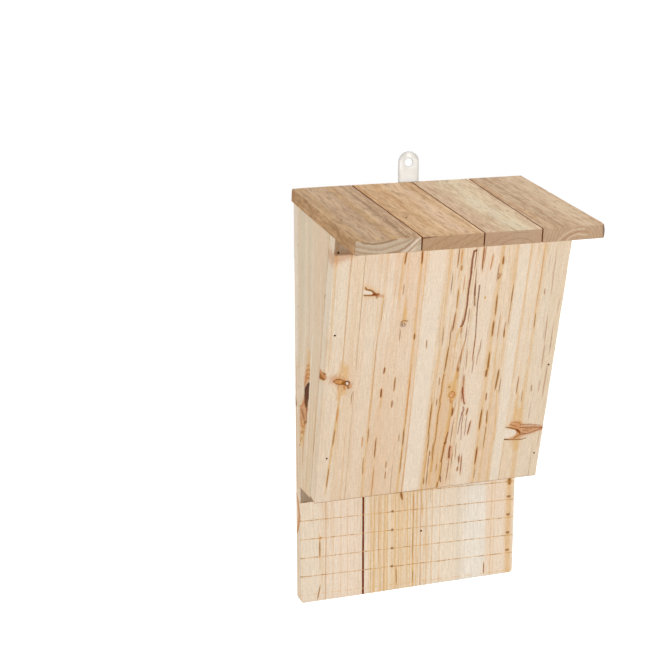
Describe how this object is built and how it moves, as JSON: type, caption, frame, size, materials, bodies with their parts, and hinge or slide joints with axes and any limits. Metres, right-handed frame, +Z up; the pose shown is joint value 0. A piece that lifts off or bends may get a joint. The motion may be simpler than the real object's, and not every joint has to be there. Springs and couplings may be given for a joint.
{
  "type": "bat box",
  "caption": "Wall-hung wooden bat roost with a grooved landing board, a leaning front panel, an open entry slit below, a sloping plank roof and a metal hanging eye.",
  "frame": {"origin": "middle of the hanging eye, on the hanging plate's rear face, where it meets the wall", "axes": "+Z up, +Y into the wall, -Y out of the box's front, +X to the right of someone facing the front"},
  "size_m": [0.204, 0.1518, 0.383],
  "materials": {
    "back_wood": "bare sawn softwood, pale cream with resin streaks",
    "side_wood": "bare planed softwood, cream with a grey-green tint",
    "front_wood": "bare planed softwood, cream with orange-brown streaks",
    "roof_wood": "bare planed wood, tan brown",
    "galvanised_steel": "galvanised, dull",
    "fastener_steel": "plain dark steel"
  },
  "bodies": {
    "root": {"back_stave_1": "back_wood", "back_stave_2": "back_wood", "back_stave_3": "back_wood", "back_stave_4": "back_wood", "side_left": "side_wood", "side_right": "side_wood", "front_stave_1": "front_wood", "front_stave_2": "front_wood", "front_stave_3": "front_wood", "front_stave_4": "front_wood", "front_stave_5": "front_wood", "roof_board_1": "roof_wood", "roof_board_2": "roof_wood", "roof_board_3": "roof_wood", "roof_board_4": "roof_wood", "hanger_plate": "galvanised_steel", "hanger_screw_1": "fastener_steel", "hanger_screw_2": "fastener_steel", "front_nail_left_1": "fastener_steel", "front_nail_left_2": "fastener_steel", "front_nail_left_3": "fastener_steel", "front_nail_right_1": "fastener_steel", "front_nail_right_2": "fastener_steel", "front_nail_right_3": "fastener_steel", "back_nail_left_1": "fastener_steel", "back_nail_left_2": "fastener_steel", "back_nail_left_3": "fastener_steel", "back_nail_right_1": "fastener_steel", "back_nail_right_2": "fastener_steel", "back_nail_right_3": "fastener_steel", "roof_nail_front_1": "fastener_steel", "roof_nail_front_2": "fastener_steel", "roof_nail_front_3": "fastener_steel", "roof_nail_front_4": "fastener_steel", "roof_nail_back_1": "fastener_steel", "roof_nail_back_2": "fastener_steel", "roof_nail_back_3": "fastener_steel", "roof_nail_back_4": "fastener_steel"}
  },
  "joints": []
}
